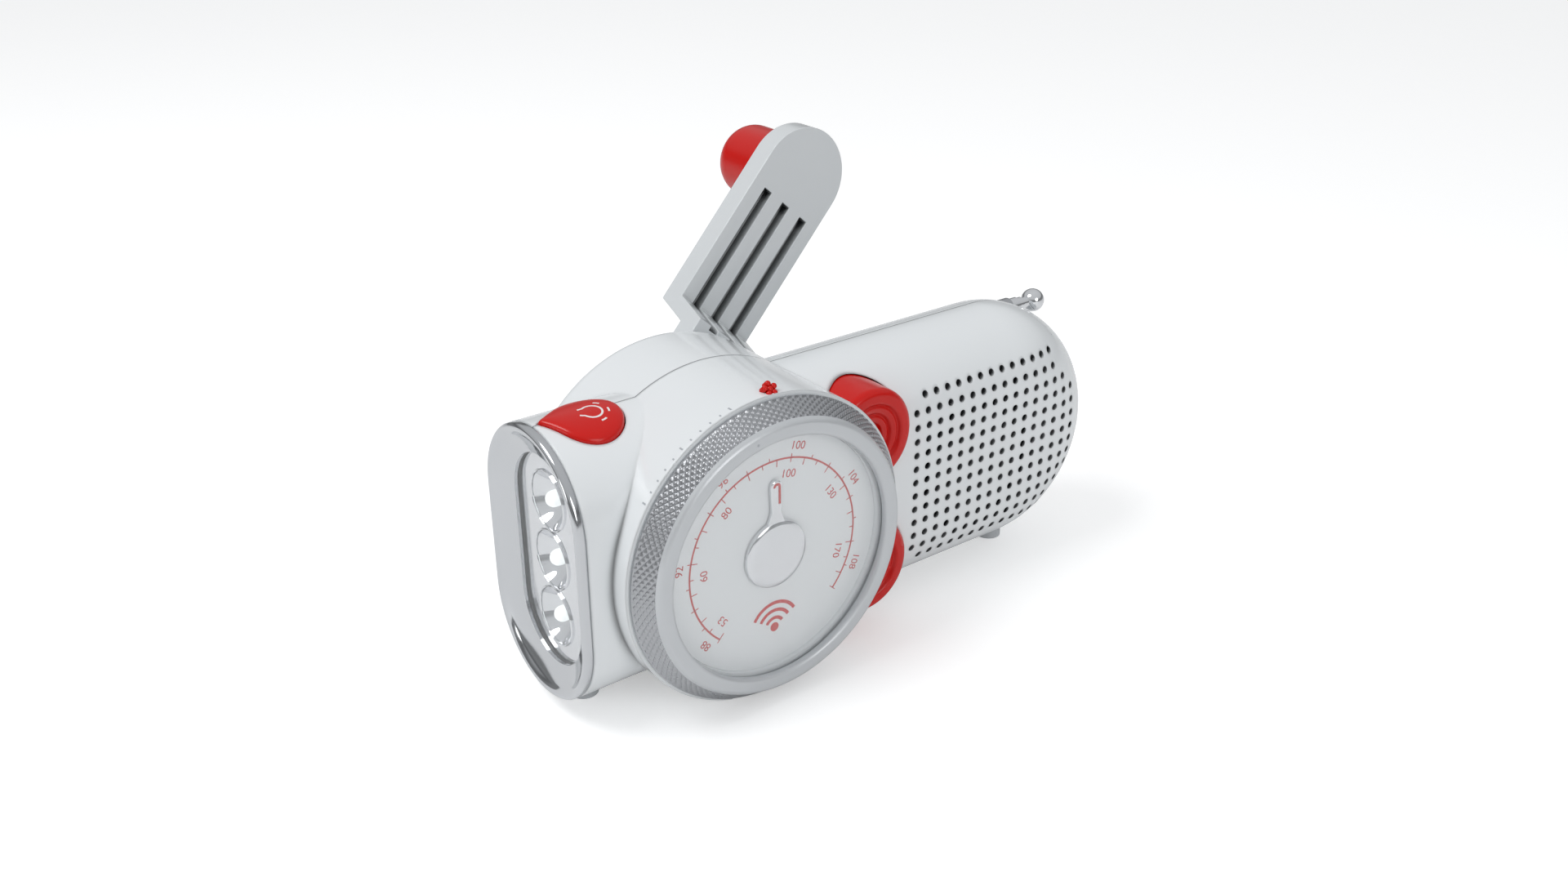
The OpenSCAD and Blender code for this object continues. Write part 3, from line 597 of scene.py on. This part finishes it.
def diamond(a, b):
    """Height of crossed V grooves, 0 in a groove and 1 on a diamond."""
    near = min(abs(2 * ((a + b) % 1) - 1), abs(2 * ((a - b) % 1) - 1))
    return min(1.0, near * 1.7)


class RADIO_OT_tuning_ring(RadioPiece, bpy.types.Operator):
    """Tuning ring with a diamond-knurled cone and a smooth front lip"""
    bl_idname = "radio.tuning_ring"
    bl_label = "Tuning ring"

    def build(self, detail):
        rows, periods = 32, 4.0
        start, end = Vector((48.15, -34.2)), Vector((43.75, -39.9))
        cone = [tuple(start.lerp(end, k / rows)) for k in range(rows + 1)]
        lip = rounded([(43.75, -39.9), (43.3, -40.6), (42.4, RING_FRONT), (39.2, RING_FRONT), (38.4, -40.6),
                       (38.4, -38.75), (40.05, -38.75), (40.05, RING_BACK)], 0.5, 4)[1:]
        back = [(40.05, RING_BACK), (47.6, RING_BACK), (48.15, -33.7)]
        first = len(back) - 1

        def knurl(i, t):
            k = i - first
            if not 2 <= k <= rows - 1:
                return 0.0
            depth = detail.knurl_depth / MM
            return -depth * (1 - diamond(t * detail.knurls / (2 * math.pi), (k - 1) / rows * periods))

        profile = back[:-1] + [back[-1]] + cone + lip[:-1]
        segments = detail.knurls * 8
        verts, faces = turned(profile, segments=segments, relief=knurl)
        ring = piece("tuning_ring_knurled", verts, faces, "satin_silver", "tuning",
                     ("tuning_ring",),
                     38)
        ring.data.materials.append(finishes()["knurled_silver"])
        for poly in ring.data.polygons:
            if first <= poly.index // segments < first + rows:
                poly.material_index = 1
        mark = turned([(0.0001, -41.24), (0.4, -41.24), (0.42, -41.2), (0.0001, -41.2)], (-9.5, 39.6), 20)
        verts, faces = mark
        piece("ring_index_dot", verts, faces, "grey_ink", "tuning")


class RADIO_OT_pointer(RadioPiece, bpy.types.Operator):
    """Plated dial cap with its pointer and red tip"""
    bl_idname = "radio.pointer"
    bl_label = "Pointer"

    def build(self, detail):
        cap_line = rounded([(0.01, LENS_BACK + 0.02), (9.3, LENS_BACK + 0.05), (10.8, -36.8),
                            (10.8, -35.82)], 0.8, 6)
        cap = turned(cap_line + [(0.01, -35.82)], segments=96)
        outline = arc_path(2.0, 0, 180, 16, (0, 22.0))
        outline += [(-1.6, 14.0), (-3.4, 9.6), (3.4, 9.6), (1.6, 14.0)]
        rings = [[(x, y, AXIS_H + z) for x, z in outline] for y in (-35.84, -36.75, -36.95)]
        rings[2] = [(x * 0.86, y, AXIS_H + (z - AXIS_H - 16) * 0.97 + 16) for x, y, z in rings[2]]
        blade = loft(rings, cap=True)
        verts, faces = merge(cap, blade)
        piece("dial_cap", verts, faces, "bright_plating", "tuning", ("pointer_cap",), 35)
        path = [(0.95, 16.5), (0.95, 21.8)] + arc_path(0.95, 0, 180, 12, (0, 22.0))[1:]
        verts, faces = ribbon(path, 0.8, lambda u, v, h: (u, -36.95 - h, AXIS_H + v))
        piece("pointer_stripe", verts, faces, "dial_ink", "tuning")


class RADIO_OT_dial_print(RadioPiece, bpy.types.Operator):
    """The dial's arc, ticks, numbers and wave sign"""
    bl_idname = "radio.dial_print"
    bl_label = "Dial print"

    outer = (("88", 222), ("92", 171), ("96", 122), ("100", 75), ("104", 28), ("108", -24))
    inner = (("53", 221), ("60", 178), ("80", 132), ("100", 78), ("130", 33), ("170", -17))

    def number(self, text, angle, radius, size):
        curve = bpy.data.curves.new("number", "FONT")
        curve.body, curve.size, curve.extrude = text, size, PRINT_LIFT * MM / 2
        curve.align_x, curve.align_y = "CENTER", "CENTER"
        holder = bpy.data.objects.new("number", curve)
        bpy.context.collection.objects.link(holder)
        depsgraph = bpy.context.evaluated_depsgraph_get()
        mesh = bpy.data.meshes.new_from_object(holder.evaluated_get(depsgraph))
        bpy.data.objects.remove(holder)
        t = math.radians(angle)
        spot = Matrix.Translation((radius * MM * math.cos(t), (DIAL_FACE - PRINT_LIFT / 2) * MM,
                                   (AXIS_H + radius * math.sin(t)) * MM))
        mesh.transform(spot @ Matrix.Rotation(math.pi / 2 - t, 4, "Y") @ Matrix.Rotation(math.pi / 2, 4, "X"))
        return mesh

    def build(self, detail):
        def face(u, v, h):
            return (u, DIAL_FACE - h, AXIS_H + v)

        marks = [ribbon(arc_path(29.8, 228, -42, 160), 0.55, face)]
        for k in range(28):
            a = math.radians(228 - 10 * k)
            inside, outside = (28.4, 29.8) if k % 2 else (27.6, 29.8)
            marks.append(ribbon([(r * math.cos(a), r * math.sin(a)) for r in (inside, outside)], 0.28, face))
        for k in range(19):
            a = math.radians(228 - 15 * k)
            marks.append(ribbon([(r * math.cos(a), r * math.sin(a)) for r in (29.8, 31.0)], 0.28, face))
        verts, faces = merge(*marks)
        bm = bmesh.new()
        made = [bm.verts.new(Vector(v) * MM) for v in verts]
        for f in faces:
            bm.faces.new([made[i] for i in f])
        for text, angle in self.outer:
            bm.from_mesh(self.number(text, angle, 33.4, detail.number_size))
        for text, angle in self.inner:
            bm.from_mesh(self.number(text, angle, 24.8, detail.number_size))
        mesh = bpy.data.meshes.new("dial_scale")
        bmesh.ops.recalc_face_normals(bm, faces=bm.faces)
        bm.to_mesh(mesh)
        bm.free()
        adopt("dial_scale", mesh, "dial_ink", "body")
        waves = [ribbon(arc_path(r, 30, 150, 32, (0, -25.5)), 1.1, face) for r in (3.2, 5.8, 8.4)]
        spot = turned([(0.01, DIAL_FACE - PRINT_LIFT), (1.5, DIAL_FACE - PRINT_LIFT), (1.5, DIAL_FACE),
                       (0.01, DIAL_FACE)], (0, -25.5), 32)
        verts, faces = merge(*waves, spot)
        piece("wave_sign", verts, faces, "red_plastic", "body")


class RADIO_OT_knobs(RadioPiece, bpy.types.Operator):
    """Volume and band knobs, dished, with ring grooves in their faces"""
    bl_idname = "radio.knobs"
    bl_label = "Knobs"

    def build(self, detail):
        def dish(r):
            floor = -64.4 + math.sqrt(36 ** 2 - r * r)
            for groove in (4.2, 7.4, 10.6):
                floor += 0.75 * math.exp(-((r - groove) / 0.55) ** 2)
            return max(floor, KNOB_FACE)

        face = [(0.01 + 12.4 * k / 60, dish(0.01 + 12.4 * k / 60)) for k in range(61)]
        edge = rounded([face[-1], (14.6, KNOB_FACE), (16.0, KNOB_FACE + 1.5), (16.0, KNOB_BACK)], 1.2, 6)[1:]
        profile = face + edge + [(0.01, KNOB_BACK)]
        for name, side, body, node in (("volume_dial", 1, "volume", "volume_knob"),
                                       ("band_dial", -1, "band", "band_knob")):
            verts, faces = turned(profile, (KNOB_X, side * KNOB_Z), 112)
            piece(name, verts, faces, "red_plastic", body, (node,), 40)


class RADIO_OT_tuning_light(RadioPiece, bpy.types.Operator):
    """Five-petal tuning lamp and the printed marks on the round housing"""
    bl_idname = "radio.tuning_light"
    bl_label = "Tuning lamp"

    def build(self, detail):
        parts = []
        tilt = Matrix.Translation((2, -31.2, AXIS_H + math.sqrt(DRUM_R ** 2 - 4) + 1.0)) @ Matrix.Rotation(
            math.radians(48), 4, "X")
        for k in range(6):
            a = math.radians(90 + 72 * k)
            cx, cy = (1.6 * math.cos(a), 1.6 * math.sin(a)) if k < 5 else (0, 0)
            rings = []
            for r, z in ((0.9, -2.0), (0.9, 0.1), (0.72, 0.42), (0.4, 0.6), (0.02, 0.66)):
                rings.append([tuple(tilt @ Vector((cx + r * math.cos(t), cy + r * math.sin(t), z)))
                              for t in (2 * math.pi * j / 20 for j in range(20))])
            parts.append(loft(rings, cap=True))
        verts, faces = merge(*parts)
        piece("tuning_petals", verts, faces, "red_plastic", "body", ("tuning_lamp",), 50)

        def on_drum(u, v, h):
            t = u / DRUM_R
            return ((DRUM_R + h) * math.cos(t), v, AXIS_H + (DRUM_R + h) * math.sin(t))

        ticks = []
        for k in range(11):
            u = math.radians(104 + 4.2 * k) * DRUM_R
            long = 1.5 if k % 5 == 0 else 0.8
            ticks.append(ribbon([(u, -31.9), (u, -31.9 + long)], 0.5, on_drum, 0.04))
        verts, faces = merge(*ticks)
        piece("housing_ticks", verts, faces, "grey_ink", "body")


class RADIO_OT_crank(RadioPiece, bpy.types.Operator):
    """Crank hub and stepped arm with rounded edges, and the domed grip"""
    bl_idname = "radio.crank"
    bl_label = "Crank"

    def build(self, detail):
        softened("crank_arm", "crank_arm_rounded", detail.arm_round, "white_arm", "crank_arm")
        softened("crank_hub", "crank_hub_rounded", 0.0004, "white_arm", "crank")
        a = math.radians(CRANK_ANGLE)
        centre = (109 * math.cos(a), 109 * math.sin(a))
        line = [(2.6, 52.72), (11.0, 52.72), (11.9, 53.5), (12.45, 58.0), (12.5, 71.6)]
        dome = [(4.5 + 8.0 * math.cos(math.radians(t)), 71.7 + 8.2 * math.sin(math.radians(t)))
                for t in range(6, 85, 6)]
        profile = rounded(line, 0.6, 4) + dome + [(3.0, 79.92), (0.01, 79.95), (0.01, 75.4), (2.6, 75.4)]
        verts, faces = turned(profile, centre, 96)
        piece("crank_grip_domed", verts, faces, "red_plastic", "grip", ("crank_grip",), 45)


class RADIO_OT_antenna(RadioPiece, bpy.types.Operator):
    """Inner antenna section with its ball tip"""
    bl_idname = "radio.antenna"
    bl_label = "Antenna tip"

    def build(self, detail):
        tip_x, ball = 144.7, 4.1
        neck = [(2.0, 61.6), (2.0, 136.6), (2.4, 136.7), (2.4, 138.6), (2.0, 138.9), (2.0, tip_x - 3.6)]
        curve = [(ball * math.sin(math.radians(t)), tip_x - ball * math.cos(math.radians(t)))
                 for t in range(32, 171, 6)]
        cap = [(0.9, tip_x + 3.98), (0.01, tip_x + 4.0)]
        profile = [(0.01, 61.6)] + neck + curve + cap
        verts, faces = turned(profile, (4.5, 34.2), 64, closed=False, along="X")
        piece("antenna_tip", verts, faces, "bright_plating", "antenna_rod",
              ("antenna_rod",), 40)


class RADIO_OT_speaker_cloth(RadioPiece, bpy.types.Operator):
    """Black cloth stretched behind the sound holes"""
    bl_idname = "radio.speaker_cloth"
    bl_label = "Speaker cloth"

    def build(self, detail):
        inner_r, straight, bend_x, mid_y = 22.1, 17.9, 110.0, -3.1
        cols, rows, thick = 56, 44, 0.25
        layers = []
        for back in (0.0, thick):
            for i in range(cols + 1):
                x = 57.0 + 75.0 * i / cols
                for j in range(rows + 1):
                    z = -31.0 + 62.0 * j / rows
                    away = max((math.hypot(x - bend_x, z) if x > bend_x else abs(z)) - straight, 0.0)
                    away = min(away, 17.0)
                    layers.append((x, mid_y - math.sqrt((inner_r - back) ** 2 - away ** 2), AXIS_H + z))
        size, half = rows + 1, (cols + 1) * (rows + 1)
        faces = []
        for i in range(cols):
            for j in range(rows):
                a = i * size + j
                faces += [(a, a + 1, a + size + 1, a + size),
                          tuple(half + k for k in (a, a + size, a + size + 1, a + 1))]
        border = [j for j in range(size)] + [i * size + rows for i in range(1, cols + 1)]
        border += [cols * size + j for j in range(rows - 1, -1, -1)]
        border += [i * size for i in range(cols - 1, 0, -1)]
        faces += [(a, b, b + half, a + half) for a, b in zip(border, border[1:] + border[:1])]
        piece("speaker_cloth", layers, faces, "speaker_cloth", "body")


class RADIO_OT_hatches(RadioPiece, bpy.types.Operator):
    """Battery door and socket cover with eased edges"""
    bl_idname = "radio.hatches"
    bl_label = "Hatches"

    def build(self, detail):
        softened("battery_door", "battery_door_eased", 0.0003, "white_arm", "battery_door")
        softened("socket_cover", "socket_cover_eased", 0.0003, "black_rubber", "socket_cover")


class RADIO_OT_studio(RadioPiece, bpy.types.Operator):
    """Pale floor, soft lights and the camera"""
    bl_idname = "radio.studio"
    bl_label = "Studio"

    def area(self, name, place, target, size, power, tint=(1, 1, 1)):
        lamp = bpy.data.lights.new(name, "AREA")
        lamp.shape, lamp.size, lamp.energy, lamp.color = "DISK", size, power, tint
        obj = bpy.data.objects.new(name, lamp)
        obj.location = place
        obj.rotation_euler = (Vector(target) - Vector(place)).to_track_quat("-Z", "Y").to_euler()
        bpy.context.collection.objects.link(obj)

    def floor_material(self):
        """Matt white paper, a little brighter than the light on it, so that the horizon stays white."""
        mat = finish_material("Pale floor", (0.93, 0.93, 0.93, 1), 0.6, drift=0.02, grain=40, relief=0.0,
                              specular=0.15)
        tree = mat.node_tree
        n, link = tree.nodes.new, tree.links.new
        glow, path, both = n("ShaderNodeEmission"), n("ShaderNodeLightPath"), n("ShaderNodeAddShader")
        glow.inputs["Color"].default_value = (1, 1, 1, 1)
        seen = n("ShaderNodeMath")
        seen.operation = "MULTIPLY"
        seen.inputs[1].default_value = 0.34
        link(path.outputs["Is Camera Ray"], seen.inputs[0])
        link(seen.outputs[0], glow.inputs["Strength"])
        link(tree.nodes["Principled BSDF"].outputs[0], both.inputs[0])
        link(glow.outputs[0], both.inputs[1])
        link(both.outputs[0], tree.nodes["Material Output"].inputs["Surface"])
        return mat

    def sky(self):
        """Soft box overhead, a darker band at eye height for the plated pieces to reflect."""
        world = bpy.data.worlds.new("Pale studio")
        world.use_nodes = True
        tree = world.node_tree
        n, link = tree.nodes.new, tree.links.new
        where, split, ramp = n("ShaderNodeTexCoord"), n("ShaderNodeSeparateXYZ"), n("ShaderNodeValToRGB")
        link(where.outputs["Generated"], split.inputs[0])
        link(split.outputs["Z"], ramp.inputs["Fac"])
        stops = ((0.0, 0.30), (0.10, 0.42), (0.22, 0.22), (0.40, 0.85), (1.0, 1.0))
        while len(ramp.color_ramp.elements) < len(stops):
            ramp.color_ramp.elements.new(0.5)
        for element, (at, grey) in zip(ramp.color_ramp.elements, stops):
            element.position = at
            element.color = (grey * 0.97, grey * 0.985, grey, 1)
        eye, backdrop = n("ShaderNodeLightPath"), n("ShaderNodeMix")
        backdrop.data_type = "RGBA"
        backdrop.inputs["B"].default_value = (1.4, 1.41, 1.42, 1)
        link(eye.outputs["Is Camera Ray"], backdrop.inputs["Factor"])
        link(ramp.outputs["Color"], backdrop.inputs["A"])
        link(backdrop.outputs["Result"], tree.nodes["Background"].inputs["Color"])
        tree.nodes["Background"].inputs["Strength"].default_value = 0.66
        bpy.context.scene.world = world

    def build(self, detail):
        mesh = bpy.data.meshes.new("floor")
        half = 6.0
        corners = [(-half, -half, 0), (half, -half, 0), (half, half, 0), (-half, half, 0)]
        mesh.from_pydata(corners, [], [(0, 1, 2, 3)])
        floor = bpy.data.objects.new("floor", mesh)
        mesh.materials.append(self.floor_material())
        bpy.context.collection.objects.link(floor)
        self.sky()
        aim = (0.04, 0, 0.05)
        self.area("key", (-0.55, 0.15, 1.0), aim, 0.55, 4.6)
        self.area("front", (0.1, -1.3, 0.55), aim, 0.7, 3.2)
        self.area("side", (-1.3, -0.1, 0.35), aim, 0.4, 0.9)
        bpy.context.scene.view_settings.view_transform = "Standard"
        data = bpy.data.cameras.new("camera")
        data.lens, data.sensor_width = 34.08, 36.0
        data.clip_start, data.clip_end = 0.01, 50
        camera = bpy.data.objects.new("camera", data)
        camera.location = (-0.2258, -0.3365, 0.2658)
        camera.rotation_euler = (math.radians(64.35), 0, math.radians(-37.31))
        bpy.context.collection.objects.link(camera)
        bpy.context.scene.camera = camera


class RADIO_PT_panel(bpy.types.Panel):
    """The radio's pieces and settings"""
    bl_label = "Emergency Radio"
    bl_idname = "RADIO_PT_panel"
    bl_space_type = "VIEW_3D"
    bl_region_type = "UI"
    bl_category = "Radio"

    def draw(self, context):
        layout = self.layout
        for settings in (context.scene.radio_finish, context.scene.radio_detail):
            box = layout.box()
            for key in settings.bl_rna.properties.keys():
                if key not in ("rna_type", "name"):
                    box.prop(settings, key)
        for operator in PIECES:
            layout.operator(operator.bl_idname)


PIECES = (RADIO_OT_finishes, RADIO_OT_bezel, RADIO_OT_bowls, RADIO_OT_lamp_button, RADIO_OT_tuning_ring,
          RADIO_OT_pointer, RADIO_OT_dial_print, RADIO_OT_knobs, RADIO_OT_tuning_light, RADIO_OT_crank,
          RADIO_OT_antenna, RADIO_OT_speaker_cloth, RADIO_OT_hatches, RADIO_OT_studio)
CLASSES = (RadioFinish, RadioDetail) + PIECES + (RADIO_PT_panel,)


def register():
    for cls in CLASSES:
        bpy.utils.register_class(cls)
    bpy.types.Scene.radio_finish = PointerProperty(type=RadioFinish)
    bpy.types.Scene.radio_detail = PointerProperty(type=RadioDetail)


def unregister():
    del bpy.types.Scene.radio_detail
    del bpy.types.Scene.radio_finish
    for cls in reversed(CLASSES):
        bpy.utils.unregister_class(cls)


def main():
    register()
    for operator in PIECES:
        group, name = operator.bl_idname.split(".")
        getattr(getattr(bpy.ops, group), name)()


if __name__ == "__main__":
    main()
